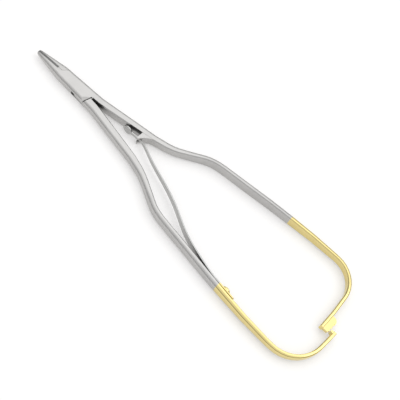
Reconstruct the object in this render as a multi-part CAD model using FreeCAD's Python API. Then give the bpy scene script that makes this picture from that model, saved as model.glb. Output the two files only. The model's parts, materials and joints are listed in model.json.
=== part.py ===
"""Palm needle holder with spring handles, closed on the first tooth of its ratchet.

X runs from the jaw tips to the ratchet, Y towards the box arm's handle, and Z is up.  Everything is
drawn with the pivot at X = 0, Y = 0.  At the end the pieces move so that the middle of the underside, where
the handles rest, is the origin.  Millimetres.
"""
import FreeCAD, Part
import math
import os
from FreeCAD import Rotation, Placement, Vector

# Head: the closed jaws and the box joint
JAW_LENGTH = 23.3
TIP_HALF_WIDTH = 1.35
TIP_DEPTH = 2.2
TIP_ROUND = 1.0
TIP_NOSE = 1.2
NOSE_STEPS = ((0.0, 0.6), (0.3, 0.85), (1.0, 1.0))
HEAD_REAR = 9.5
HEAD_DEPTH = 4.4
BOX_FRONT_HALF_WIDTH = 3.25
BOX_REAR_HALF_WIDTH = 4.05
EDGE_ROUND = 1.5
JAW_GAP = 0.1
OPEN_ANGLE = 18.0

# Jaw shoulder and rear shoulder of the box
SHOULDER_X = 9.0
SHOULDER_ANGLE = 52.0
SHOULDER_GAP = 0.15
CHEEK_RADIUS = 8.6
CHEEK_GAP = 0.35
CROTCH_GAP = 0.4
BEVEL_START = 5.8
BEVEL_DROP = 28.0
BEVEL_WIDTH = 1.0

# Tongue that passes through the box, and the pin it turns on
TONGUE_THICKNESS = 1.5
TONGUE_HALF_WIDTH = 2.15
TONGUE_ROOT = 0.6
TONGUE_INSET = 0.1
TONGUE_LEAN = 0.5
TONGUE_FLUSH_X = 3.0
SLOT_PLAY = 0.05
SLOT_SIDE_PLAY = 0.15
SLOT_OVERRUN = 1.0
PIN_RADIUS = 1.2
PIN_PLAY = 0.03

# Carbide inserts along the grip line
INSERT_SETBACK = 2.2
INSERT_THICKNESS = 0.5

# Handles: the stretch that lies flat, and the width and depth where it ends at the corner
HANDLE_DEPTH = 5.5
HANDLE_HALF_WIDTH = 25.4
HANDLE_WIDTH = 2.0
CORNER_DEPTH = 4.1
CORNER_ROUND = 1.3
CORNER_BOW = 0.7
BOX_ARM_BOW = 0.7
TONGUE_ARM_BOW = -0.7
INNER_BEVEL = 0.4

# Arms: distance from the pivot, centre line off the middle, width, depth over the handle's, rounding of the
# outer edges, share of the bow
ARM_STATIONS = (
    (20.0, 3.65, 3.7, -1.1, 1.4, 0.0),
    (32.0, 5.5, 3.45, -1.0, 1.4, 0.0),
    (44.0, 8.0, 3.15, -1.1, 1.45, 0.0),
    (50.5, 10.35, 2.9, -1.1, 1.5, 0.0),
    (57.0, 14.15, 2.6, -0.6, 1.6, 0.3),
    (63.5, 17.65, 2.45, -0.1, 1.65, 0.8),
    (74.0, 19.75, 2.4, 0.06, 1.7, 1.0),
    (92.0, 22.1, 2.45, 0.06, 1.7, 1.0),
    (110.0, 24.1, 2.35, -0.5, 1.65, 0.9),
)

# Spacing of the arm's sections, and the turn that calls for a closer one
SECTION_LEAST = 1.0
SECTION_MOST = 12.0
SECTION_TURN = 4.5
CORNER_SECTIONS = 9

# Ends of the handles, bent round to the ratchet along arcs about the pivot
BOX_STRIP_RADIUS = 145.0
BOX_STRIP_WIDTH = 1.5
BOX_CORNER_RADIUS = 13.0
BOX_STRIP_END = -3.4
TONGUE_STRIP_WIDTH = 1.6
TONGUE_CORNER_RADIUS = 15.0
TONGUE_STRIP_END = -1.3
STRIP_DEPTH = 3.3
STRIP_ROUND = 0.45

# Ratchet: the plate's teeth and round shoulder, and the hook that passes them
PLATE_THICKNESS = 1.8
PLATE_REACH = 3.6
PLATE_INSET = 0.1
PLATE_LAND = 2.4
PLATE_CORNER = 2.2
TOOTH_HEIGHT = 0.6
TOOTH_PITCH = 1.6
TOOTH_COUNT = 3
TOOTH_TIP_SHARE = 0.85
HOOK_HEIGHT = 1.8
HOOK_LENGTH = 1.5
HOOK_TIP = 0.7
HOOK_INSET = 0.1
HOOK_BEVEL = 0.2
HOOK_CLEARANCE = 0.13
TOOTH_TIP_RADIUS = BOX_STRIP_RADIUS + PLATE_REACH
HOOK_TIP_RADIUS = TOOTH_TIP_RADIUS + HOOK_CLEARANCE
TONGUE_STRIP_RADIUS = HOOK_TIP_RADIUS + HOOK_HEIGHT

# Fork lug on the box arm, a claw slotted from its tip for the spring's neck
FORK_X = 35.3
FORK_TIP_Y = 1.0
FORK_TIP_WIDTH = 0.7
FORK_FOOT = 4.7
FORK_FILLET = 1.2
FORK_HOLLOW = 0.3
FORK_DEPTH = 4.3
FORK_SLOT_PLAY = 0.2

# Leaf spring, a strip on edge
SPRING_THICKNESS = 0.6
SPRING_HALF_WIDTH = 2.6
SPRING_FORK_HALF_WIDTH = 1.15
SPRING_PATH = ((91.0, -18.85), (79.0, -14.75), (69.0, -9.6), (57.6, -4.95), (45.0, -0.5))
SPRING_STEPS = 14
NECK_HALF_WIDTH = 0.75
NECK_Y = 2.25
NECK_ROOT = 3.3
NECK_TAPER = 1.0
PADDLE_RADIUS = 2.3
PADDLE_GAP = 3.5
PADDLE_Y = 2.0

# Flat milled inside the tongue arm's handle for the spring's foot
SEAT_MIDDLE = 107.1
SEAT_HALF_LENGTH = 4.8
SEAT_SINK = 0.1
SEAT_LEAD = 9.0
SEAT_RUNOUT = 1.0

# Screw that holds the spring's foot
SCREW_RADIUS = 0.95
SCREW_GRIP = 1.8
SCREW_HOLE_PLAY = 0.1
SCREW_HEAD_RADIUS = 2.1
SCREW_RIM = 0.75
SCREW_DOME = 1.15
SCREW_SLOT_WIDTH = 0.6
SCREW_SLOT_DEPTH = 0.85
SCREW_SLOT_TURN = 35.0

MID = HANDLE_DEPTH / 2
REACH = 40.0
UP = Vector(0, 0, 1)


def flat(x, y, z=0.0):
    """A point by its plan position."""
    return Vector(x, y, z)


def turned(point, degrees):
    """The point turned about the pivot, anticlockwise seen from above."""
    return Rotation(UP, degrees).multVec(point)


def line(a, b):
    return Part.makeLine(a, b)


def arc(a, b, c):
    return Part.Arc(a, b, c).toShape()


def prism(points, low, high):
    """A straight-sided outline raised between two heights."""
    outline = Part.makePolygon([Vector(p.x, p.y, low) for p in points + points[:1]])
    return Part.Face(outline).extrude(UP * (high - low))


def plate(edges, thickness):
    """A closed outline of lines and arcs, raised evenly about the middle height."""
    face = Part.Face(Part.Wire(edges))
    face.translate(UP * (MID - thickness / 2))
    return face.extrude(UP * thickness)


def tall(points):
    """An outline raised well past the instrument, above and below."""
    return prism(points, -REACH, REACH)


def section(centre, outward, inner, outer, depth, inner_round, outer_round, bevelled=False):
    """Cross section with rounded corners, the inner ones bevelled if wanted, measured outwards from the centre."""
    half = depth / 2

    def at(across, height):
        return centre + outward * across + UP * (MID + height)

    def corner(across, height, side, lift, radius):
        """Arc round one corner, as start, middle and end, anticlockwise."""
        middle = Vector(across - side * radius, height - lift * radius, 0)
        diagonal = radius * math.sqrt(0.5)
        bend = at(middle.x + side * diagonal, middle.y + lift * diagonal)
        flat_end = at(middle.x, height)
        side_end = at(across, middle.y)
        return (flat_end, bend, side_end) if side * lift < 0 else (side_end, bend, flat_end)

    corners = (
        corner(outer, -half, 1, -1, outer_round),
        corner(outer, half, 1, 1, outer_round),
        corner(inner, half, -1, 1, inner_round),
        corner(inner, -half, -1, -1, inner_round),
    )
    edges = []
    for number, points in enumerate(corners):
        is_bevel = bevelled and number >= 2
        edges.append(line(points[0], points[2]) if is_bevel else arc(*points))
        edges.append(line(points[2], corners[(number + 1) % len(corners)][0]))
    return Part.Wire(edges)


def head_section(x, half_width, depth, rounding):
    return section(flat(x, 0), Vector(0, 1, 0), -half_width, half_width, depth, rounding, rounding)


def head_blank():
    """Outside form of the closed head, tapering from the box to the rounded jaw tips."""
    sections = [
        head_section(TIP_NOSE * run - JAW_LENGTH, TIP_HALF_WIDTH * share, TIP_DEPTH * share, TIP_ROUND * share)
        for run, share in NOSE_STEPS
    ]
    sections.append(head_section(-SHOULDER_X, BOX_FRONT_HALF_WIDTH, HEAD_DEPTH, EDGE_ROUND))
    sections.append(head_section(HEAD_REAR, BOX_REAR_HALF_WIDTH, HEAD_DEPTH, EDGE_ROUND))
    return Part.makeLoft(sections, True, True)


def shoulder_x(y, gap=0.0):
    """Where the slanted jaw shoulder lies at a distance off the middle."""
    return y / math.tan(math.radians(SHOULDER_ANGLE)) - SHOULDER_X - gap


def jaw_space(edge, gap=0.0):
    """Everything in front of the shoulder and beyond a line along the grip."""
    return tall([
        flat(-REACH, edge), flat(shoulder_x(edge, gap), edge), flat(shoulder_x(REACH, gap), REACH),
        flat(-REACH, REACH),
    ])


def rear_space(edge, radius):
    """Everything on the tongue arm's side behind the cheeks' round rear end."""
    space = tall([flat(0, -REACH), flat(REACH, -REACH), flat(REACH, edge), flat(0, edge)])
    return space.cut(Part.makeCylinder(radius, REACH * 2, flat(0, 0, -REACH)))


def insert_space(side):
    """The strip along one side of the grip line that the carbide fills."""
    front = -JAW_LENGTH - TIP_NOSE
    rear = -SHOULDER_X - INSERT_SETBACK
    near = side * JAW_GAP / 2
    far = side * (JAW_GAP / 2 + INSERT_THICKNESS)
    return tall([flat(front, near), flat(rear, near), flat(rear, far), flat(front, far)])


def half_width(x):
    """Half the box's width at a distance from the pivot."""
    share = (x + SHOULDER_X) / (HEAD_REAR + SHOULDER_X)
    return BOX_FRONT_HALF_WIDTH + (BOX_REAR_HALF_WIDTH - BOX_FRONT_HALF_WIDTH) * share


def tongue_points():
    """Plan of the tongue: both edges from the jaw's root past the pin to the shank's root."""
    root = JAW_GAP / 2 + TONGUE_INSET
    front_side = half_width(-SHOULDER_X) - TONGUE_INSET
    left = [
        flat(-SHOULDER_X - TONGUE_ROOT, root),
        flat(-TONGUE_LEAN, -TONGUE_HALF_WIDTH),
        flat(TONGUE_FLUSH_X, TONGUE_INSET - half_width(TONGUE_FLUSH_X)),
        flat(HEAD_REAR, TONGUE_INSET - BOX_REAR_HALF_WIDTH),
    ]
    right = [
        flat(HEAD_REAR, -CROTCH_GAP / 2 - SLOT_SIDE_PLAY),
        flat(TONGUE_LEAN, TONGUE_HALF_WIDTH),
        flat(shoulder_x(front_side, TONGUE_ROOT), front_side),
    ]
    return left, right


def beyond(start, end):
    """Everything to the right of a line in plan, a little clear of it."""
    along = (end - start).normalize()
    out = Vector(along.y, -along.x, 0)
    near = start - along * REACH + out * SLOT_SIDE_PLAY
    far = end + along * REACH + out * SLOT_SIDE_PLAY
    return tall([near, far, far + out * REACH, near + out * REACH])


def column(closed, opened):
    """Solid left beside the tongue, clear of one edge when closed and of the other when opened."""
    swung = [turned(point, -OPEN_ANGLE) for point in opened]
    sweep = Part.makeCylinder(closed[1].Length + SLOT_SIDE_PLAY, REACH * 2, flat(0, 0, -REACH))
    return beyond(closed[0], closed[1]).common(beyond(swung[0], swung[1])).cut(sweep)


def slot():
    """Mortise through the box for the tongue, open to both sides where the tongue swings."""
    left, right = tongue_points()
    half = TONGUE_THICKNESS / 2 + SLOT_PLAY
    front = -SHOULDER_X - SLOT_SIDE_PLAY
    rear = HEAD_REAR + SLOT_OVERRUN
    box = prism([flat(front, -REACH), flat(rear, -REACH), flat(rear, REACH), flat(front, REACH)],
                MID - half, MID + half)
    front_column = column(left[:2], left[1:3])
    rear_column = column(right[:2], right[1:])
    return box.cut(front_column).cut(rear_column)


def corner_bevel(lift):
    """Wedge off the cheek's rear corner, above or below."""
    top = flat(BEVEL_START, BEVEL_WIDTH - BOX_REAR_HALF_WIDTH, MID + lift * HEAD_DEPTH / 2)
    along = (flat(CHEEK_RADIUS, 0, top.z) - top).normalize()
    out = along.cross(UP).normalize()
    fall = Vector(out.x, out.y, -lift * math.tan(math.radians(BEVEL_DROP)))
    start = top - along * REACH / 2
    wedge = Part.makePolygon([start, start + out * REACH, start + fall * REACH, start])
    return Part.Face(wedge).extrude(along * REACH)


def pin_bore(radius):
    return Part.makeCylinder(radius, REACH * 2, flat(0, 0, -REACH))


class CentreLine:
    """Middle of one arm in plan: shank and handle, corner arc, and end arc about the pivot."""

    def __init__(self, bow, end_radius, corner_radius, end_width, end_y):
        self.end_radius = end_radius
        self.corner_radius = corner_radius
        self.end_width = end_width
        corner_y = HANDLE_HALF_WIDTH + bow * CORNER_BOW
        offset = corner_y - corner_radius
        self.corner = flat(math.sqrt((end_radius - corner_radius) ** 2 - offset ** 2), offset)
        self.meet = math.degrees(math.atan2(self.corner.y, self.corner.x))
        self.end_angle = math.degrees(math.asin(end_y / end_radius))
        inner = CROTCH_GAP / 2
        rows = [(HEAD_REAR, (inner + BOX_REAR_HALF_WIDTH) / 2, BOX_REAR_HALF_WIDTH - inner, HEAD_DEPTH,
                 EDGE_ROUND)]
        rows += [(x, y + bow * share, width, HANDLE_DEPTH + extra, rounding)
                 for x, y, width, extra, rounding, share in ARM_STATIONS]
        rows.append((self.corner.x, corner_y, HANDLE_WIDTH, CORNER_DEPTH, CORNER_ROUND))
        along = Vector(1, 0, 0)
        distances = [row[0] for row in rows]
        self.route = Part.BSplineCurve()
        self.route.interpolate(Points=[flat(row[0], row[1]) for row in rows], Parameters=distances,
                               InitialTangent=along, FinalTangent=along)
        self.sizes = Part.BSplineCurve()
        self.sizes.interpolate(Points=[Vector(*row[2:]) for row in rows], Parameters=distances)

    def inner(self, x):
        """Point on the arm's inner edge."""
        tangent = self.route.tangent(x)[0]
        return self.route.value(x) + Vector(tangent.y, -tangent.x, 0) * (self.sizes.value(x).x / 2)

    def stops(self):
        """Where the sections stand along the spline: closer together where it turns."""
        last = self.route.FirstParameter
        found = [last]
        value = last
        while value < self.corner.x - SECTION_LEAST:
            value += SECTION_LEAST
            turn = self.route.tangent(value)[0].getAngle(self.route.tangent(last)[0])
            if value - last >= SECTION_MOST or math.degrees(turn) >= SECTION_TURN:
                found.append(value)
                last = value
        return found + [self.corner.x]

    def sections(self):
        found = []
        for value in self.stops():
            size = self.sizes.value(value)
            found.append(arm_section(self.route.value(value), self.route.tangent(value)[0], *size))
        corner_length = math.radians(90 - self.meet) * self.corner_radius
        length = corner_length + math.radians(self.meet - self.end_angle) * self.end_radius
        bends = []
        for number in range(1, CORNER_SECTIONS + 1):
            share = number / CORNER_SECTIONS
            bends.append((self.corner, self.corner_radius, 90 + (self.meet - 90) * share,
                          corner_length * share))
        for share in (0.5, 1.0):
            bends.append((flat(0, 0), self.end_radius, self.meet + (self.end_angle - self.meet) * share,
                          corner_length + (length - corner_length) * share))
        for middle, radius, angle, run in bends:
            share = run / length
            outward = turned(Vector(1, 0, 0), angle)
            width = HANDLE_WIDTH + (self.end_width - HANDLE_WIDTH) * share
            depth = CORNER_DEPTH + (STRIP_DEPTH - CORNER_DEPTH) * share
            found.append(arm_section(middle + outward * radius, Vector(outward.y, -outward.x, 0), width,
                                     depth, CORNER_ROUND + (STRIP_ROUND - CORNER_ROUND) * share))
        return found

    def solid(self):
        """The arm as drawn, with its deepest stretch ground flat above and below."""
        blank = Part.makeLoft(self.sections(), True, True)
        far = self.end_radius + REACH
        slab = prism([flat(-REACH, -REACH), flat(far, -REACH), flat(far, REACH), flat(-REACH, REACH)],
                     0, HANDLE_DEPTH)
        return blank.common(slab)


def arm_section(point, tangent, width, depth, outer_round):
    outward = Vector(-tangent.y, tangent.x, 0)
    return section(point, outward, -width / 2, width / 2, depth, INNER_BEVEL, outer_round, bevelled=True)


def mirrored(shape):
    """The same form on the other side of the instrument's middle."""
    return shape.mirror(Vector(0, 0, 0), Vector(0, 1, 0))


box_line = CentreLine(BOX_ARM_BOW, BOX_STRIP_RADIUS, BOX_CORNER_RADIUS, BOX_STRIP_WIDTH, BOX_STRIP_END)
tongue_line = CentreLine(TONGUE_ARM_BOW, TONGUE_STRIP_RADIUS, TONGUE_CORNER_RADIUS,
                         TONGUE_STRIP_WIDTH, -TONGUE_STRIP_END)


def on_circle(radius, y):
    """Point at a distance from the pivot and off the middle."""
    return flat(math.sqrt(radius ** 2 - y ** 2), y)


def ratchet_plate():
    """Flat blade beyond the box arm's end: saw teeth on an arc about the pivot, then a round shoulder."""
    root = TOOTH_TIP_RADIUS - TOOTH_HEIGHT
    start = BOX_STRIP_END + PLATE_INSET
    edges = [line(on_circle(BOX_STRIP_RADIUS, start), on_circle(root, start))]
    for number in range(TOOTH_COUNT):
        low = on_circle(root, start + number * TOOTH_PITCH)
        tip = on_circle(TOOTH_TIP_RADIUS, start + (number + TOOTH_TIP_SHARE) * TOOTH_PITCH)
        foot = on_circle(root, start + (number + 1) * TOOTH_PITCH)
        edges += [line(low, tip), line(tip, foot)]
    stop = start + TOOTH_COUNT * TOOTH_PITCH
    shoulder = stop + PLATE_LAND
    bend = on_circle(TOOTH_TIP_RADIUS, shoulder - PLATE_CORNER)
    hub = bend - flat(PLATE_CORNER, 0)
    diagonal = PLATE_CORNER * math.sqrt(0.5)
    corner_end = flat(hub.x, shoulder)
    edges += [
        line(foot, on_circle(TOOTH_TIP_RADIUS, stop)),
        line(on_circle(TOOTH_TIP_RADIUS, stop), bend),
        arc(bend, hub + flat(diagonal, diagonal), corner_end),
        line(corner_end, on_circle(BOX_STRIP_RADIUS, shoulder)),
        line(on_circle(BOX_STRIP_RADIUS, shoulder), on_circle(BOX_STRIP_RADIUS, start)),
    ]
    return plate(edges, PLATE_THICKNESS)


def hook():
    """Inward tooth at the tongue arm's end, just clear of the ratchet's tooth tips."""
    near = TONGUE_STRIP_END
    points = [
        on_circle(TONGUE_STRIP_RADIUS, near - HOOK_LENGTH), on_circle(TONGUE_STRIP_RADIUS, near),
        on_circle(HOOK_TIP_RADIUS, near - HOOK_BEVEL), on_circle(HOOK_TIP_RADIUS, near - HOOK_BEVEL - HOOK_TIP),
    ]
    half = STRIP_DEPTH / 2 - HOOK_INSET
    return prism(points, MID - half, MID + half)


def fork():
    """Claw inside the box arm, slotted from its tip for the spring's neck."""
    front_root = flat(FORK_X, box_line.route.value(FORK_X).y)
    front = flat(FORK_X, FORK_TIP_Y + FORK_TIP_WIDTH)
    tip = front + flat(FORK_TIP_WIDTH, -FORK_TIP_WIDTH)
    bend = front + flat(FORK_TIP_WIDTH * (1 - math.sqrt(0.5)), -FORK_TIP_WIDTH * math.sqrt(0.5))
    foot = box_line.inner(FORK_X + FORK_FOOT)
    foot_root = box_line.route.value(FORK_X + FORK_FOOT)
    rear = foot + flat(-FORK_FILLET, -FORK_FILLET / 2)
    waist = (tip + rear) * 0.5 + flat(-FORK_HOLLOW, FORK_HOLLOW / 2)
    hollow = foot + flat(-FORK_FILLET * 0.7, -FORK_FILLET * 0.15)
    claw = plate([
        line(front_root, front), arc(front, bend, tip), arc(tip, waist, rear), arc(rear, hollow, foot),
        line(foot, foot_root), line(foot_root, front_root),
    ], FORK_DEPTH)
    half = NECK_HALF_WIDTH + FORK_SLOT_PLAY
    floor = NECK_Y + SPRING_THICKNESS / 2 + FORK_SLOT_PLAY
    slot_space = prism([flat(0, -REACH), flat(REACH * 2, -REACH), flat(REACH * 2, floor), flat(0, floor)],
                       MID - half, MID + half)
    return claw.cut(slot_space)


class Seat:
    """Flat milled inside the tongue arm's handle, with the spring's foot and screw on it."""

    def __init__(self):
        middle = tongue_line.route.value(SEAT_MIDDLE)
        tangent = tongue_line.route.tangent(SEAT_MIDDLE)[0]
        width = tongue_line.sizes.value(SEAT_MIDDLE).x
        self.along = Vector(tangent.x, -tangent.y, 0)
        self.inward = Vector(tangent.y, tangent.x, 0)
        self.middle = flat(middle.x, -middle.y) + self.inward * (width / 2 - SEAT_SINK)

    def at(self, along, off=0.0):
        return self.middle + self.along * along + self.inward * off


seat = Seat()


def seat_space():
    """What the milling takes off the handle's inner side."""
    front = -SEAT_HALF_LENGTH - SEAT_LEAD
    rear = SEAT_HALF_LENGTH + SEAT_RUNOUT
    return tall([seat.at(front), seat.at(rear), seat.at(rear, REACH), seat.at(front, REACH)])


def axis_placement(origin, direction):
    """Carries a shape drawn along Z to an origin and a level direction."""
    return Placement(origin + UP * MID, Rotation(direction.cross(UP), UP, direction, "ZXY"))


def screw_hole(radius):
    hole = Part.makeCylinder(radius, SCREW_GRIP + REACH, flat(0, 0, -SCREW_GRIP))
    hole.Placement = axis_placement(seat.at(0), seat.inward)
    return hole


def spring_screw():
    """Domed slotted screw, its head on the spring and its shank in the arm."""
    rim = SPRING_THICKNESS + SCREW_RIM
    top = rim + SCREW_DOME
    ball = (SCREW_HEAD_RADIUS ** 2 + SCREW_DOME ** 2) / (2 * SCREW_DOME)
    lean = math.asin(SCREW_HEAD_RADIUS / ball) / 2
    shoulder = Vector(ball * math.sin(lean), 0, top - ball + ball * math.cos(lean))
    corners = [
        Vector(0, 0, top), Vector(0, 0, -SCREW_GRIP), Vector(SCREW_RADIUS, 0, -SCREW_GRIP),
        Vector(SCREW_RADIUS, 0, SPRING_THICKNESS), Vector(SCREW_HEAD_RADIUS, 0, SPRING_THICKNESS),
        Vector(SCREW_HEAD_RADIUS, 0, rim),
    ]
    profile = [line(a, b) for a, b in zip(corners, corners[1:])]
    profile.append(arc(corners[-1], shoulder, corners[0]))
    screw = Part.Face(Part.Wire(profile)).revolve(Vector(0, 0, 0), UP, 360)
    groove = Part.makeBox(SCREW_SLOT_WIDTH, REACH, REACH,
                          Vector(-SCREW_SLOT_WIDTH / 2, -REACH / 2, top - SCREW_SLOT_DEPTH))
    groove.rotate(Vector(0, 0, 0), UP, SCREW_SLOT_TURN)
    screw = screw.cut(groove)
    screw.Placement = axis_placement(seat.at(0), seat.inward)
    return screw


def paddle_middle():
    return flat(FORK_X - PADDLE_GAP - PADDLE_RADIUS, PADDLE_Y)


def spring_plan():
    """The strip seen from above: foot on the seat, free length, then straight through the fork."""
    half = SPRING_THICKNESS / 2
    foot = seat.at(SEAT_HALF_LENGTH, half)
    leave = seat.at(-SEAT_HALF_LENGTH, half)
    neck = flat(FORK_X + FORK_TIP_WIDTH, NECK_Y)
    ahead = (paddle_middle() - neck).normalize()
    end = paddle_middle() + ahead * (PADDLE_RADIUS + SPRING_THICKNESS)
    across = Vector(ahead.y, -ahead.x, 0)
    free = Part.BSplineCurve()
    free.interpolate(Points=[leave] + [flat(x, y) for x, y in SPRING_PATH] + [neck],
                     InitialTangent=seat.along * -1, FinalTangent=ahead)
    span = free.LastParameter - free.FirstParameter
    edges = []
    for side in (-half, half):
        run = []
        for number in range(SPRING_STEPS + 1):
            value = free.FirstParameter + span * number / SPRING_STEPS
            tangent = free.tangent(value)[0]
            run.append(free.value(value) + Vector(tangent.y, -tangent.x, 0) * side)
        edge = Part.BSplineCurve()
        edge.interpolate(Points=run)
        edges += [line(foot + seat.inward * side, run[0]), edge.toShape(), line(run[-1], end + across * side)]
    edges.append(line(foot - seat.inward * half, foot + seat.inward * half))
    edges.append(line(end - across * half, end + across * half))
    wire = Part.Wire(Part.__sortEdges__(edges))
    return Part.Face(wire).extrude(UP * REACH)


def spring_profile():
    """The strip seen from the side: full width at the foot, tapered to the neck, round paddle."""
    foot = seat.at(SEAT_HALF_LENGTH).x
    leave = seat.at(-SEAT_HALF_LENGTH).x
    neck_end = FORK_X + NECK_ROOT
    paddle = paddle_middle().x
    upper = [
        (foot, SPRING_HALF_WIDTH), (leave, SPRING_HALF_WIDTH),
        (neck_end + NECK_TAPER, SPRING_FORK_HALF_WIDTH), (neck_end, NECK_HALF_WIDTH), (paddle, NECK_HALF_WIDTH),
    ]
    points = [Vector(x, -REACH, MID + z) for x, z in upper]
    points += [Vector(x, -REACH, MID - z) for x, z in reversed(upper)]
    strip = Part.Face(Part.makePolygon(points + points[:1])).extrude(Vector(0, REACH * 2, 0))
    disc = Part.makeCylinder(PADDLE_RADIUS, REACH * 2, Vector(paddle, -REACH, MID), Vector(0, 1, 0))
    return strip.fuse(disc)


def leaf_spring():
    strip = spring_plan().common(spring_profile())
    return strip.cut(screw_hole(SCREW_RADIUS + SCREW_HOLE_PLAY))


def box_arm():
    """Female arm: its jaw, the box with its slot, the handle with the fork, and the ratchet plate."""
    body = head_blank().cut(jaw_space(-JAW_GAP / 2)).cut(rear_space(CROTCH_GAP / 2, CHEEK_RADIUS))
    body = body.cut(slot()).cut(corner_bevel(1)).cut(corner_bevel(-1)).cut(insert_space(-1))
    body = body.fuse(box_line.solid()).fuse(fork()).fuse(ratchet_plate())
    return body.cut(pin_bore(PIN_RADIUS)).removeSplitter()


def tongue_arm():
    """Male arm: its jaw, the tongue through the box, the handle with the spring's seat, and the hook."""
    blank = head_blank()
    jaw = blank.common(jaw_space(JAW_GAP / 2, SHOULDER_GAP)).cut(insert_space(1))
    root = blank.common(rear_space(-CROTCH_GAP / 2, CHEEK_RADIUS + CHEEK_GAP))
    left, right = tongue_points()
    half = TONGUE_THICKNESS / 2
    body = jaw.fuse(prism(left + right, MID - half, MID + half)).fuse(root)
    handle = mirrored(tongue_line.solid()).cut(seat_space())
    body = body.fuse(handle).fuse(hook())
    return body.cut(pin_bore(PIN_RADIUS + PIN_PLAY)).cut(screw_hole(SCREW_RADIUS)).removeSplitter()


def joint_pin():
    """Pin ground flush with the box above and below."""
    return Part.makeCylinder(PIN_RADIUS, HEAD_DEPTH, flat(0, 0, MID - HEAD_DEPTH / 2))


def jaw_insert(side):
    """Carbide face brazed into one jaw, flush with it all round."""
    return head_blank().common(insert_space(side))


def middle_of_length():
    """Middle between the jaw tips and the far side of the tongue arm's end."""
    turn = math.asin(TONGUE_STRIP_END / TONGUE_STRIP_RADIUS)
    far_end = (TONGUE_STRIP_RADIUS + TONGUE_STRIP_WIDTH / 2) * math.cos(turn)
    return flat((far_end - JAW_LENGTH) / 2, 0)


pieces = {
    "box_arm": box_arm(),
    "tongue_arm": tongue_arm(),
    "joint_pin": joint_pin(),
    "box_jaw_insert": jaw_insert(-1),
    "tongue_jaw_insert": jaw_insert(1),
    "leaf_spring": leaf_spring(),
    "spring_screw": spring_screw(),
}

os.makedirs("parts", exist_ok=True)
for name, shape in pieces.items():
    shape.translate(-middle_of_length())
    print(name, "solids", len(shape.Solids), "volume", round(shape.Volume, 2), "valid", shape.isValid())
    shape.exportStep("parts/" + name + ".step")
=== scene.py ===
"""Palm needle holder: finishes, bent leaf spring, paper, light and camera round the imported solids."""

import json
import math

import bmesh
import bpy
from mathutils import Matrix, Vector

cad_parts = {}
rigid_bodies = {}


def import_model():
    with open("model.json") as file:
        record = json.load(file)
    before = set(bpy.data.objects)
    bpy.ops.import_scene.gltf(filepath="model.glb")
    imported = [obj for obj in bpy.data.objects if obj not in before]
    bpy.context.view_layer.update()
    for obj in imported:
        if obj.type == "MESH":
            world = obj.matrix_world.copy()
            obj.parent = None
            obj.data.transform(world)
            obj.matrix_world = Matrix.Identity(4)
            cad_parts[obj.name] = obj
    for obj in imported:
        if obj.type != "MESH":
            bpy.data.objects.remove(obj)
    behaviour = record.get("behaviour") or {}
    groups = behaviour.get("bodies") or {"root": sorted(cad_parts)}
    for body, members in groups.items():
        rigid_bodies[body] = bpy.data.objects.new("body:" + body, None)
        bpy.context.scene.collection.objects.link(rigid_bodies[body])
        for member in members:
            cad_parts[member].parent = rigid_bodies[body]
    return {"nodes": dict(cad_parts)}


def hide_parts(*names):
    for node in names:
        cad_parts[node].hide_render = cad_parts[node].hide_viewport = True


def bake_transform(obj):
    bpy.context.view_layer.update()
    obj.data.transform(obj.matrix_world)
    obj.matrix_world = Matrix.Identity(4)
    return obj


MM = 0.001

# The camera stands this way round the instrument, in degrees, and rolls so that the jaws are at top left
CAMERA_AZIMUTH = 17.5
CAMERA_ELEVATION = 60.0
CAMERA_ROLL = 62.0
CAMERA_DISTANCE = 346.5 * MM
CAMERA_TARGET = Vector((9.49, -0.05, 5.0)) * MM
CAMERA_LENS = 75.0
CAMERA_NEAREST = 0.01
SENSOR_WIDTH = 36.0

# Light tent: a pale glow at the horizon, dim walls, and a roof of full strength. The end of the glow and the
# start of the full roof are heights of a ray's direction, from 0 for level to 1 for straight up
HORIZON_GLOW = 0.45
HORIZON_END = 0.2
WALL_STRENGTH = 0.22
ROOF_STRENGTH = 1.0
ROOF_START = 0.85

# A brighter panel in the roof behind the instrument, fading out between two angles from its middle
PANEL_DIRECTION = Vector((-0.15, 0.42, 0.89))
PANEL_INNER = 12.0
PANEL_OUTER = 42.0
PANEL_GAIN = 0.58

# Soft lamp, in watts and metres
LAMP_POWER = 1.0
LAMP_PLACE = Vector((0.5, 0.48, 0.85))
LAMP_SIZE = 0.5

# White paper, and the glow that makes it white to the camera and in the metal
PAPER_SIZE = 4.0
PAPER_TONE = "#CFCFCF"
PAPER_GLOW_TONE = "#FFFDFC"
PAPER_GLOW = 0.4

# Gold plating starts here, measured along the instrument
BOX_ARM_GILDING = 41.56 * MM
TONGUE_ARM_GILDING = 39.66 * MM
GILDING_EDGE = 0.12 * MM

# Blasted steel and gold plating, each between two tones, with handling marks about 8 mm across. The craters
# that the blasting leaves are 0.05 mm wide, and are drawn ten times as coarse to show
SATIN_TONES = ("#B6B5B4", "#C5C4C2")
GOLD_TONES = ("#DDCA8A", "#E7D796")
HANDLING_MARK = 8.0 * MM
CRATER_WIDTH = 0.5 * MM
CRATER_DEPTH = 0.02 * MM
CRATER_STRENGTH = 0.1
SATIN_ROUGHNESS = 0.37
GOLD_ROUGHNESS = 0.13
BLASTING_UNEVENNESS = 0.04

# Tungsten carbide, with cuts 0.5 mm apart across its gripping face, one set each way at 45 degrees to the jaw
CARBIDE_TONES = ("#767676", "#8C8C8A")
CARBIDE_GRAIN = 0.4 * MM
CARBIDE_ROUGHNESS = 0.42
CUT_SPACING = 0.5 * MM
CUT_TURN = 45.0
CUT_DEPTH = 0.12 * MM
CUT_STRENGTH = 0.6

# Distance at which a wave texture of scale 1 repeats
WAVE_REPEAT = 0.314

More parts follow.
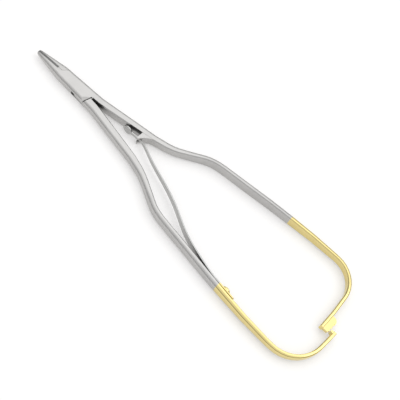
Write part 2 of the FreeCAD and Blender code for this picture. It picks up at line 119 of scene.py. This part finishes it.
# Spring steel, between two tones and two roughnesses. Its grinding lines are 0.02 mm wide, and are drawn
# 0.25 mm wide and 12 mm long to show; the three sizes are along, across and up
STRIP_TONES = ("#AEAEAD", "#C2C2C0")
STREAK_SIZES = (12.0 * MM, 6.0 * MM, 0.25 * MM)
STREAK_DEPTH = 0.02 * MM
STREAK_STRENGTH = 0.08
STRIP_SMOOTHEST = 0.28
STRIP_ROUGHEST = 0.4

# Painted shade in gaps and inner corners, full where a place is nearly closed in and gone where it is open
# enough.
# Each finish has the painted shade's reach and the share of its colour that is left at the darkest
SHADE_FULL_OPENNESS = 0.1
SHADE_GONE_OPENNESS = 0.46
SHADE_SAMPLES = 8
STEEL_PAINTED_SHADE = (2.5 * MM, 0.05)
CARBIDE_PAINTED_SHADE = (1.0 * MM, 0.25)
SPRING_PAINTED_SHADE = (0.4 * MM, 0.3)

# The steel has that painted shade only behind the box joint's head, which ends here
HEAD_END = -58.0 * MM

# Painted black shade along the shoulder seam of the box joint, where its gap lies in deep shade, above the
# joint's top height only
PAINTED_SHADE_TONE = "#1C1B1A"
PAINTED_SHADE_STRENGTH = 0.92
SEAM_INNER = Vector((-54.95, 0.27)) * MM
SEAM_OUTER = Vector((-56.6, -4.6)) * MM
SEAM_REACH = 0.26 * MM
JOINT_TOP = 4.0 * MM

# The same painted black shade, in place of deep shade and dark reflections, on two stretches of the wall
# inside the box arm, each with its start, where it is full, where it begins to fade, and its end, in mm along
# the instrument.
# It starts and is full at two heights. The wall is what lies beyond a line along the instrument and faces the
# tongue arm by so much of its normal
WALL_STRETCHES = ((-56.0, -55.0, -50.0, -47.0), (-36.0, -34.5, -29.5, -28.0))
WALL_SHADE_FOOT = 2.3 * MM
WALL_SHADE_FULL = 3.5 * MM
WALL_SIDE = -1.0 * MM
WALL_FACING = -0.5

# Leaf spring seen from above: the end of its foot, the points of its free length, and its paddle's middle
SPRING_FOOT = Vector((48.124, -22.305)) * MM
SPRING_FREE = [Vector(p) * MM for p in (
    (38.578, -21.290), (26.988, -18.85), (14.988, -14.75), (4.988, -9.6), (-6.412, -4.95), (-19.012, -0.5),
    (-28.012, 2.25),
)]
PADDLE_MIDDLE = Vector((-34.512, 2.0)) * MM
SPRING_MIDDLE = 2.75 * MM
SPRING_THICKNESS = 0.6 * MM
SPRING_EDGE_ROUND = 0.12 * MM
FOOT_CORNER = 0.9 * MM
PADDLE_RADIUS = 2.3 * MM
NECK_HALF_HEIGHT = 0.75 * MM

# Half the strip's height at places along the instrument, from the foot to the paddle
SPRING_HEIGHTS = [(x * MM, h * MM) for x, h in (
    (48.124, 2.6), (38.578, 2.6), (-24.412, 1.15), (-25.412, 0.75), (-34.512, 0.75),
)]

# Steps round the foot's corner, between two points of the free length, round the paddle's rim and round each
# eased edge. The rim's last ring lies just short of half a turn, in degrees
FOOT_STEPS = 4
FREE_STEPS = 9
PADDLE_STEPS = 16
EDGE_STEPS = 2
PADDLE_LAST_TURN = 176

# Hole in the spring's foot for its screw
SCREW_MIDDLE = Vector((43.351, -21.797, 2.75)) * MM
SCREW_DIRECTION = Vector((0.1058, 0.9944, 0))
SCREW_HOLE_RADIUS = 1.05 * MM
SCREW_HOLE_DEPTH = SPRING_THICKNESS * 4
SCREW_HOLE_SIDES = 32

# Facets shade as one skin up to this angle between them, in degrees
CREASE_ANGLE = 26
WELD_DISTANCE = 0.001 * MM

# Settings that many nodes share
EASED = {"interpolation_type": "SMOOTHSTEP"}
OF_COLOURS = {"data_type": "RGBA"}


def tone(code):
    """Linear colour from sRGB hex."""
    channels = [int(code[place:place + 2], 16) / 255 for place in (1, 3, 5)]
    return tuple(c / 12.92 if c <= 0.04045 else ((c + 0.055) / 1.055) ** 2.4 for c in channels) + (1.0,)


def add(tree, kind, settings=None, **links):
    """A node with its settings, and its inputs, by name or as i0, i1 and so on, set or linked to sockets."""
    node = tree.nodes.new(kind)
    for name, value in (settings or {}).items():
        setattr(node, name, value)
    for name, value in links.items():
        key = int(name[1:]) if name[0] == "i" and name[1:].isdigit() else name.replace("_", " ")
        socket = node.inputs[key]
        if isinstance(value, bpy.types.NodeSocket):
            tree.links.new(value, socket)
        else:
            socket.default_value = value
    return node


def new_material(name):
    material = bpy.data.materials.new(name)
    material.use_nodes = True
    material.node_tree.nodes.clear()
    return material, material.node_tree


def painted_gap_shade(tree, colour, reach, darkest):
    """The colour with painted shade deep in gaps and inner corners, darker the more closed in a place is."""
    openness = add(tree, "ShaderNodeAmbientOcclusion", {"samples": SHADE_SAMPLES},
                   Distance=reach).outputs["AO"]
    darkening = add(tree, "ShaderNodeMapRange", EASED, i0=openness, i1=SHADE_FULL_OPENNESS, i2=SHADE_GONE_OPENNESS,
               i3=darkest, i4=1.0).outputs[0]
    shade = add(tree, "ShaderNodeCombineColor", i0=darkening, i1=darkening, i2=darkening).outputs[0]
    return add(tree, "ShaderNodeMix", {"data_type": "RGBA", "blend_type": "MULTIPLY"}, i0=1.0, i6=colour,
               i7=shade).outputs[2]


def seam_painted_shade(tree, place, height):
    """Where black shade is painted along the shoulder's seam, on top of the joint."""
    run = SEAM_OUTER - SEAM_INNER
    aside = Vector((-run.y, run.x, 0)).normalized()
    halfway = run.length_squared / 2
    offset = add(tree, "ShaderNodeVectorMath", {"operation": "SUBTRACT"}, i0=place,
                 i1=(*SEAM_INNER, 0)).outputs[0]
    across = add(tree, "ShaderNodeVectorMath", {"operation": "DOT_PRODUCT"}, i0=offset,
                 i1=aside).outputs["Value"]
    along = add(tree, "ShaderNodeVectorMath", {"operation": "DOT_PRODUCT"}, i0=offset,
                i1=(run.x, run.y, 0)).outputs["Value"]
    near = add(tree, "ShaderNodeMath", {"operation": "COMPARE"}, i0=across, i1=0.0, i2=SEAM_REACH).outputs[0]
    between = add(tree, "ShaderNodeMath", {"operation": "COMPARE"}, i0=along, i1=halfway,
                  i2=halfway).outputs[0]
    seam = add(tree, "ShaderNodeMath", {"operation": "MULTIPLY"}, i0=near, i1=between).outputs[0]
    top = add(tree, "ShaderNodeMath", {"operation": "GREATER_THAN"}, i0=height, i1=JOINT_TOP).outputs[0]
    return add(tree, "ShaderNodeMath", {"operation": "MULTIPLY"}, i0=seam, i1=top).outputs[0]


def inner_wall(tree, aside, height):
    """The upper part of the walls inside the box arm that face the tongue arm."""
    facing = add(tree, "ShaderNodeNewGeometry").outputs["Normal"]
    sideways = add(tree, "ShaderNodeSeparateXYZ", Vector=facing).outputs["Y"]
    inward = add(tree, "ShaderNodeMath", {"operation": "LESS_THAN"}, i0=sideways, i1=WALL_FACING).outputs[0]
    inside = add(tree, "ShaderNodeMath", {"operation": "GREATER_THAN"}, i0=aside, i1=WALL_SIDE).outputs[0]
    wall = add(tree, "ShaderNodeMath", {"operation": "MULTIPLY"}, i0=inward, i1=inside).outputs[0]
    upper = add(tree, "ShaderNodeMapRange", i0=height, i1=WALL_SHADE_FOOT, i2=WALL_SHADE_FULL).outputs[0]
    return add(tree, "ShaderNodeMath", {"operation": "MULTIPLY"}, i0=wall, i1=upper).outputs[0]


def joint_painted_shade(tree, place):
    """How much black shade is painted on the steel: along the shoulder's seam, and on the wall inside the box
    arm.
    """
    along, aside, height = add(tree, "ShaderNodeSeparateXYZ", Vector=place).outputs
    painted_dark = seam_painted_shade(tree, place, height)
    wall = inner_wall(tree, aside, height)
    for stretch in WALL_STRETCHES:
        start, full, fading, end = (v * MM for v in stretch)
        rise = add(tree, "ShaderNodeMapRange", EASED, i0=along, i1=start, i2=full).outputs[0]
        fall = add(tree, "ShaderNodeMapRange", EASED, i0=along, i1=fading, i2=end, i3=1.0, i4=0.0).outputs[0]
        within = add(tree, "ShaderNodeMath", {"operation": "MULTIPLY"}, i0=rise, i1=fall).outputs[0]
        patch = add(tree, "ShaderNodeMath", {"operation": "MULTIPLY"}, i0=within, i1=wall).outputs[0]
        painted_dark = add(tree, "ShaderNodeMath", {"operation": "MAXIMUM"}, i0=painted_dark, i1=patch).outputs[0]
    return add(tree, "ShaderNodeMath", {"operation": "MULTIPLY"}, i0=painted_dark, i1=PAINTED_SHADE_STRENGTH).outputs[0]


def blasted_and_gilded_steel(name, gilding):
    """Stainless steel, bead blasted to an even satin grey; beyond a line it is polished and gold plated.

    Blasting blurs reflections, so a flat face looks one soft grey; the plating mirrors the tent in bands.
    """
    material, tree = new_material(name)
    place = add(tree, "ShaderNodeTexCoord").outputs["Object"]
    along = add(tree, "ShaderNodeSeparateXYZ", Vector=place).outputs["X"]
    plated = add(tree, "ShaderNodeMapRange", i0=along, i1=gilding - GILDING_EDGE,
                 i2=gilding + GILDING_EDGE).outputs[0]
    marks = add(tree, "ShaderNodeTexNoise", Vector=place, Scale=1 / HANDLING_MARK, Detail=3.0).outputs[0]
    craters = add(tree, "ShaderNodeTexNoise", Vector=place, Scale=1 / CRATER_WIDTH, Detail=2.0).outputs[0]
    satin, gold = (
        add(tree, "ShaderNodeMix", OF_COLOURS, i0=marks, i6=tone(darker), i7=tone(lighter)).outputs[2]
        for darker, lighter in (SATIN_TONES, GOLD_TONES))
    finish = add(tree, "ShaderNodeMix", OF_COLOURS, i0=plated, i6=satin, i7=gold).outputs[2]
    # Painted shade in gaps and inner corners, behind the head only
    behind_head = add(tree, "ShaderNodeMapRange", i0=along, i1=HEAD_END, i2=HEAD_END + MM).outputs[0]
    shaded = add(tree, "ShaderNodeMix", OF_COLOURS, i0=behind_head, i6=finish,
                 i7=painted_gap_shade(tree, finish, *STEEL_PAINTED_SHADE)).outputs[2]
    # Painted black shade along the shoulder seam and on the wall inside the box arm
    colour = add(tree, "ShaderNodeMix", OF_COLOURS, i0=joint_painted_shade(tree, place), i6=shaded,
                 i7=tone(PAINTED_SHADE_TONE)).outputs[2]
    even = add(tree, "ShaderNodeMapRange", i0=plated, i3=SATIN_ROUGHNESS, i4=GOLD_ROUGHNESS).outputs[0]
    uneven = add(tree, "ShaderNodeMapRange", i0=craters, i3=-BLASTING_UNEVENNESS,
                 i4=BLASTING_UNEVENNESS).outputs[0]
    rough = add(tree, "ShaderNodeMath", {"operation": "ADD"}, i0=even, i1=uneven).outputs[0]
    bump = add(tree, "ShaderNodeBump", Strength=CRATER_STRENGTH, Distance=CRATER_DEPTH,
               Height=craters).outputs[0]
    steel = add(tree, "ShaderNodeBsdfPrincipled", Base_Color=colour, Metallic=1.0, Roughness=rough,
                Normal=bump)
    add(tree, "ShaderNodeOutputMaterial", Surface=steel.outputs[0])
    return material


def ground_carbide():
    """Sintered tungsten carbide, darker than steel, its gripping face cut both ways to hold a needle."""
    material, tree = new_material("ground_tungsten_carbide")
    place = add(tree, "ShaderNodeTexCoord").outputs["Object"]
    grain = add(tree, "ShaderNodeTexNoise", Vector=place, Scale=1 / CARBIDE_GRAIN, Detail=2.0).outputs[0]
    darker, lighter = CARBIDE_TONES
    body = add(tree, "ShaderNodeMix", OF_COLOURS, i0=grain, i6=tone(darker), i7=tone(lighter)).outputs[2]
    cuts = []
    for turn in (CUT_TURN, -CUT_TURN):
        turned = add(tree, "ShaderNodeVectorRotate", {"rotation_type": "Y_AXIS"}, Vector=place,
                     Angle=math.radians(turn)).outputs[0]
        cuts.append(add(tree, "ShaderNodeTexWave", {"bands_direction": "X", "wave_profile": "TRI"},
                        Vector=turned, Scale=WAVE_REPEAT / CUT_SPACING).outputs["Fac"])
    pyramids = add(tree, "ShaderNodeMath", {"operation": "MINIMUM"}, i0=cuts[0], i1=cuts[1]).outputs[0]
    bump = add(tree, "ShaderNodeBump", Strength=CUT_STRENGTH, Distance=CUT_DEPTH, Height=pyramids).outputs[0]
    # Painted shade in the gaps round the inserts
    colour = painted_gap_shade(tree, body, *CARBIDE_PAINTED_SHADE)
    carbide = add(tree, "ShaderNodeBsdfPrincipled", Base_Color=colour, Metallic=1.0,
                  Roughness=CARBIDE_ROUGHNESS, Normal=bump)
    add(tree, "ShaderNodeOutputMaterial", Surface=carbide.outputs[0])
    return material


def ground_spring_steel(name, tones):
    """Spring steel strip, ground along its length, so its broad sides carry fine long streaks."""
    material, tree = new_material(name)
    place = add(tree, "ShaderNodeTexCoord").outputs["Object"]
    stretched = add(tree, "ShaderNodeMapping", Vector=place, Scale=[1 / size for size in STREAK_SIZES])
    streaks = add(tree, "ShaderNodeTexNoise", Vector=stretched.outputs[0], Scale=1.0, Detail=3.0).outputs[0]
    darker, lighter = tones
    body = add(tree, "ShaderNodeMix", OF_COLOURS, i0=streaks, i6=tone(darker), i7=tone(lighter)).outputs[2]
    # Painted shade where the strip lies close to the arm
    colour = painted_gap_shade(tree, body, *SPRING_PAINTED_SHADE)
    rough = add(tree, "ShaderNodeMapRange", i0=streaks, i3=STRIP_SMOOTHEST, i4=STRIP_ROUGHEST).outputs[0]
    bump = add(tree, "ShaderNodeBump", Strength=STREAK_STRENGTH, Distance=STREAK_DEPTH,
               Height=streaks).outputs[0]
    strip = add(tree, "ShaderNodeBsdfPrincipled", Base_Color=colour, Metallic=1.0, Roughness=rough,
                Normal=bump)
    add(tree, "ShaderNodeOutputMaterial", Surface=strip.outputs[0])
    return material


def smooth_skin():
    """Shades facets as one skin, keeping every edge sharper than the crease angle crisp."""
    tree = bpy.data.node_groups.new("smooth_skin", "GeometryNodeTree")
    for way in ("INPUT", "OUTPUT"):
        tree.interface.new_socket("Geometry", in_out=way, socket_type="NodeSocketGeometry")
    shape = add(tree, "NodeGroupInput").outputs[0]
    merged = add(tree, "GeometryNodeMergeByDistance", Geometry=shape, Distance=WELD_DISTANCE).outputs[0]
    plain = add(tree, "GeometryNodeRemoveAttribute", Geometry=merged, Name="custom_normal").outputs[0]
    smooth = add(tree, "GeometryNodeSetShadeSmooth", {"domain": "FACE"}, Geometry=plain,
                 Shade_Smooth=True).outputs[0]
    angle = add(tree, "GeometryNodeInputMeshEdgeAngle").outputs[0]
    sharp = add(tree, "FunctionNodeCompare", {"operation": "GREATER_THAN"}, i0=angle,
                i1=math.radians(CREASE_ANGLE)).outputs[0]
    edged = add(tree, "GeometryNodeSetShadeSmooth", {"domain": "EDGE"}, Geometry=smooth, Selection=sharp,
                Shade_Smooth=False).outputs[0]
    add(tree, "NodeGroupOutput", i0=edged)
    return tree


def soften(obj, skin_group):
    skin = obj.modifiers.new("smooth skin", "NODES")
    skin.node_group = skin_group
    weighted = obj.modifiers.new("flat faces stay flat", "WEIGHTED_NORMAL")
    weighted.keep_sharp = True


def dress(obj, material, skin_group):
    for slot in obj.material_slots:
        slot.material = material
    soften(obj, skin_group)


def spring_tangents(points, first, last):
    """Distances between the points, and slopes there of the smooth curve through them.

    The slopes solve the curve's banded equations, in one sweep down the points and one back up.
    """
    gaps = [(b - a).length for a, b in zip(points, points[1:])]
    weights = [0.0]
    slopes = [first]
    for i in range(1, len(points) - 1):
        before, after = gaps[i - 1], gaps[i]
        pull = 3 * (after / before * (points[i] - points[i - 1])
                    + before / after * (points[i + 1] - points[i]))
        pivot = 2 * (before + after) - after * weights[-1]
        slopes.append((pull - after * slopes[-1]) / pivot)
        weights.append(before / pivot)
    slopes.append(last)
    for i in range(len(points) - 2, 0, -1):
        slopes[i] = slopes[i] - weights[i] * slopes[i + 1]
    return gaps, slopes


def spring_line():
    """Points along the strip with their directions, from the foot's end to the paddle's far end."""
    away = (SPRING_FREE[0] - SPRING_FOOT).normalized()
    ahead = (PADDLE_MIDDLE - SPRING_FREE[-1]).normalized()
    stations = []
    for step in range(FOOT_STEPS + 1):
        turn = math.radians(90 * step / FOOT_STEPS)
        stations.append((SPRING_FOOT + away * FOOT_CORNER * (1 - math.cos(turn)), away))
    plated_share = (TONGUE_ARM_GILDING - SPRING_FREE[0].x) / (SPRING_FOOT.x - SPRING_FREE[0].x)
    stations.append((SPRING_FREE[0].lerp(SPRING_FOOT, plated_share), away))
    gaps, slopes = spring_tangents(SPRING_FREE, away, ahead)
    for i, gap in enumerate(gaps):
        a, b = SPRING_FREE[i], SPRING_FREE[i + 1]
        for step in range(FREE_STEPS):
            t = step / FREE_STEPS
            place = ((2 * t ** 3 - 3 * t ** 2 + 1) * a + (t ** 3 - 2 * t ** 2 + t) * gap * slopes[i]
                     + (3 * t ** 2 - 2 * t ** 3) * b + (t ** 3 - t ** 2) * gap * slopes[i + 1])
            slope = ((6 * t ** 2 - 6 * t) / gap * (a - b) + (3 * t ** 2 - 4 * t + 1) * slopes[i]
                     + (3 * t ** 2 - 2 * t) * slopes[i + 1])
            stations.append((place, slope.normalized()))
    stations.append((SPRING_FREE[-1], ahead))
    neck_turn = math.degrees(math.asin(NECK_HALF_HEIGHT / PADDLE_RADIUS))
    for step in range(PADDLE_STEPS + 1):
        turn = math.radians(neck_turn + (PADDLE_LAST_TURN - neck_turn) * step / PADDLE_STEPS)
        stations.append((PADDLE_MIDDLE - ahead * PADDLE_RADIUS * math.cos(turn), ahead))
    return stations


def strip_half_height(place):
    """Half the strip's height there: full at the foot, tapered to the neck, round at the paddle."""
    height = SPRING_HEIGHTS[-1][1]
    for (x0, h0), (x1, h1) in zip(SPRING_HEIGHTS, SPRING_HEIGHTS[1:]):
        if x1 <= place.x <= x0:
            height = h1 + (h0 - h1) * (place.x - x1) / (x0 - x1)
    from_paddle = (place - PADDLE_MIDDLE).length
    if from_paddle < PADDLE_RADIUS:
        disc = math.sqrt(PADDLE_RADIUS ** 2 - from_paddle ** 2)
        height = disc if place.x < PADDLE_MIDDLE.x else max(disc, height)
    from_end = FOOT_CORNER - (place - SPRING_FOOT).length
    if from_end > 0:
        height -= FOOT_CORNER - math.sqrt(FOOT_CORNER ** 2 - from_end ** 2)
    return height


def strip_section(half_height):
    """Ring of (across, up) points: a tall strip with its four long edges eased."""
    half = SPRING_THICKNESS / 2
    ease = min(SPRING_EDGE_ROUND, half_height / 2)
    ring = []
    for corner in range(4):
        across = half if corner in (0, 3) else -half
        up = half_height if corner in (0, 1) else -half_height
        for step in range(EDGE_STEPS + 1):
            turn = math.radians(90 * (corner + step / EDGE_STEPS))
            ring.append((across - math.copysign(ease, across) + ease * math.cos(turn),
                         up - math.copysign(ease, up) + ease * math.sin(turn)))
    return ring


def strip_mesh():
    """The strip on edge, swept along its bent line, with a rounded foot and a round paddle."""
    strip = bmesh.new()
    rings = []
    for place, direction in spring_line():
        side = Vector((-direction.y, direction.x))
        ring = []
        for across, up in strip_section(strip_half_height(place)):
            level = place + side * across
            ring.append(strip.verts.new((level.x, level.y, SPRING_MIDDLE + up)))
        rings.append(ring)
    count = len(rings[0])
    for near, far in zip(rings, rings[1:]):
        for i in range(count):
            strip.faces.new((near[i], near[(i + 1) % count], far[(i + 1) % count], far[i]))
    strip.faces.new(rings[0][::-1])
    strip.faces.new(rings[-1])
    bmesh.ops.recalc_face_normals(strip, faces=strip.faces)
    mesh = bpy.data.meshes.new("bent_leaf_spring")
    strip.to_mesh(mesh)
    strip.free()
    return mesh


def screw_hole():
    """A round bar across the strip where the screw goes through."""
    mesh = bpy.data.meshes.new("screw_hole")
    bar = bmesh.new()
    bmesh.ops.create_cone(bar, cap_ends=True, segments=SCREW_HOLE_SIDES, radius1=SCREW_HOLE_RADIUS,
                          radius2=SCREW_HOLE_RADIUS, depth=SCREW_HOLE_DEPTH)
    bar.to_mesh(mesh)
    bar.free()
    obj = bpy.data.objects.new("screw_hole", mesh)
    turn = SCREW_DIRECTION.to_track_quat("Z", "X").to_matrix().to_4x4()
    obj.matrix_world = Matrix.Translation(SCREW_MIDDLE) @ turn
    bpy.context.scene.collection.objects.link(obj)
    return obj


def bent_leaf_spring():
    """The strip with its screw hole, in plain spring steel but for its plated foot."""
    obj = bpy.data.objects.new("bent_leaf_spring", strip_mesh())
    bpy.context.scene.collection.objects.link(obj)
    bar = screw_hole()
    drill = obj.modifiers.new("screw hole", "BOOLEAN")
    drill.object = bar
    drill.operation = "DIFFERENCE"
    drill.solver = "EXACT"
    bpy.context.view_layer.update()
    drilled = bpy.data.meshes.new_from_object(obj.evaluated_get(bpy.context.evaluated_depsgraph_get()))
    obj.modifiers.clear()
    obj.data = drilled
    bpy.data.objects.remove(bar)
    drilled.materials.clear()
    drilled.materials.append(ground_spring_steel("ground_spring_steel", STRIP_TONES))
    drilled.materials.append(ground_spring_steel("gilded_spring_foot", GOLD_TONES))
    for face in drilled.polygons:
        face.material_index = 1 if face.center.x > TONGUE_ARM_GILDING else 0
    return obj


def paper():
    """Sheet of white photographer's paper, matte, so that it shows only the instrument's soft shadow."""
    mesh = bpy.data.meshes.new("paper")
    half = PAPER_SIZE / 2
    corners = [(-half, -half, 0), (half, -half, 0), (half, half, 0), (-half, half, 0)]
    mesh.from_pydata(corners, [], [(0, 1, 2, 3)])
    obj = bpy.data.objects.new("paper", mesh)
    bpy.context.scene.collection.objects.link(obj)
    material, tree = new_material("white_paper")
    matte = add(tree, "ShaderNodeBsdfDiffuse", Color=tone(PAPER_TONE))
    glow = add(tree, "ShaderNodeEmission", Color=tone(PAPER_GLOW_TONE), Strength=PAPER_GLOW)
    rays = add(tree, "ShaderNodeLightPath").outputs
    seen = add(tree, "ShaderNodeMath", {"operation": "MAXIMUM"}, i0=rays["Is Camera Ray"],
               i1=rays["Is Glossy Ray"]).outputs[0]
    seen = add(tree, "ShaderNodeMath", {"operation": "MAXIMUM"}, i0=seen,
               i1=rays["Is Transmission Ray"]).outputs[0]
    both = add(tree, "ShaderNodeAddShader", i0=matte.outputs[0], i1=glow.outputs[0])
    sheet = add(tree, "ShaderNodeMixShader", i0=seen, i1=matte.outputs[0], i2=both.outputs[0])
    add(tree, "ShaderNodeOutputMaterial", Surface=sheet.outputs[0])
    mesh.materials.append(material)


def light_tent():
    """White tent round the instrument, whose roof and panel give the metal its pale tops and dark edges."""
    world = bpy.data.worlds.new("light_tent")
    bpy.context.scene.world = world
    world.use_nodes = True
    tree = world.node_tree
    tree.nodes.clear()
    direction = add(tree, "ShaderNodeTexCoord").outputs["Generated"]
    toward = add(tree, "ShaderNodeVectorMath", {"operation": "DOT_PRODUCT"}, i0=direction,
                 i1=PANEL_DIRECTION.normalized()).outputs["Value"]
    outer, inner = (math.cos(math.radians(angle)) for angle in (PANEL_OUTER, PANEL_INNER))
    panel = add(tree, "ShaderNodeMapRange", EASED, i0=toward, i1=outer, i2=inner, i3=0.0,
                i4=PANEL_GAIN).outputs[0]
    height = add(tree, "ShaderNodeSeparateXYZ", Vector=direction).outputs["Z"]
    walls = add(tree, "ShaderNodeMapRange", EASED, i0=height, i1=0.0, i2=ROOF_START, i3=WALL_STRENGTH,
                i4=ROOF_STRENGTH).outputs[0]
    horizon = add(tree, "ShaderNodeMapRange", EASED, i0=height, i1=0.0, i2=HORIZON_END, i3=HORIZON_GLOW,
                  i4=0.0).outputs[0]
    round_about = add(tree, "ShaderNodeMath", {"operation": "ADD"}, i0=horizon, i1=walls).outputs[0]
    strength = add(tree, "ShaderNodeMath", {"operation": "ADD"}, i0=panel, i1=round_about).outputs[0]
    tent = add(tree, "ShaderNodeBackground", Color=tone("#FFFFFF"), Strength=strength)
    add(tree, "ShaderNodeOutputWorld", Surface=tent.outputs[0])


def lamp():
    """Soft lamp that gives the arms their narrow shadows."""
    data = bpy.data.lights.new("lamp", "AREA")
    data.energy = LAMP_POWER
    data.size = LAMP_SIZE
    obj = bpy.data.objects.new("lamp", data)
    bpy.context.scene.collection.objects.link(obj)
    obj.location = LAMP_PLACE
    obj.rotation_euler = (-LAMP_PLACE).to_track_quat("-Z", "Y").to_euler()


def camera():
    azimuth, elevation, roll = (math.radians(a) for a in (CAMERA_AZIMUTH, CAMERA_ELEVATION, CAMERA_ROLL))
    back = Vector((math.sin(azimuth) * math.cos(elevation), -math.cos(azimuth) * math.cos(elevation),
                   math.sin(elevation)))
    right = Vector((math.cos(azimuth), math.sin(azimuth), 0))
    up = back.cross(right)
    across = up * math.cos(roll) + right * math.sin(roll)
    upward = up * math.sin(roll) - right * math.cos(roll)
    data = bpy.data.cameras.new("camera")
    data.lens = CAMERA_LENS
    data.sensor_width = SENSOR_WIDTH
    data.clip_start = CAMERA_NEAREST
    obj = bpy.data.objects.new("camera", data)
    bpy.context.scene.collection.objects.link(obj)
    obj.matrix_world = Matrix.Translation(CAMERA_TARGET + back * CAMERA_DISTANCE) @ Matrix(
        (across, upward, back)).transposed().to_4x4()
    bpy.context.scene.camera = obj


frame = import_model()
nodes = frame["nodes"]
for leftover in list(bpy.data.objects):
    if leftover.type in ("MESH", "LIGHT", "CAMERA") and leftover.name not in nodes:
        bpy.data.objects.remove(leftover)
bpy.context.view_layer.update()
skin = smooth_skin()

spring = bent_leaf_spring()
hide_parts("leaf_spring")
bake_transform(spring)
soften(spring, skin)

box_steel = blasted_and_gilded_steel("blasted_steel_box_arm", BOX_ARM_GILDING)
tongue_steel = blasted_and_gilded_steel("blasted_steel_tongue_arm", TONGUE_ARM_GILDING)
carbide = ground_carbide()
dress(nodes["box_arm"], box_steel, skin)
dress(nodes["joint_pin"], box_steel, skin)
dress(nodes["tongue_arm"], tongue_steel, skin)
dress(nodes["spring_screw"], tongue_steel, skin)
dress(nodes["box_jaw_insert"], carbide, skin)
dress(nodes["tongue_jaw_insert"], carbide, skin)

paper()
light_tent()
lamp()
camera()
bpy.context.scene.view_settings.view_transform = "Standard"
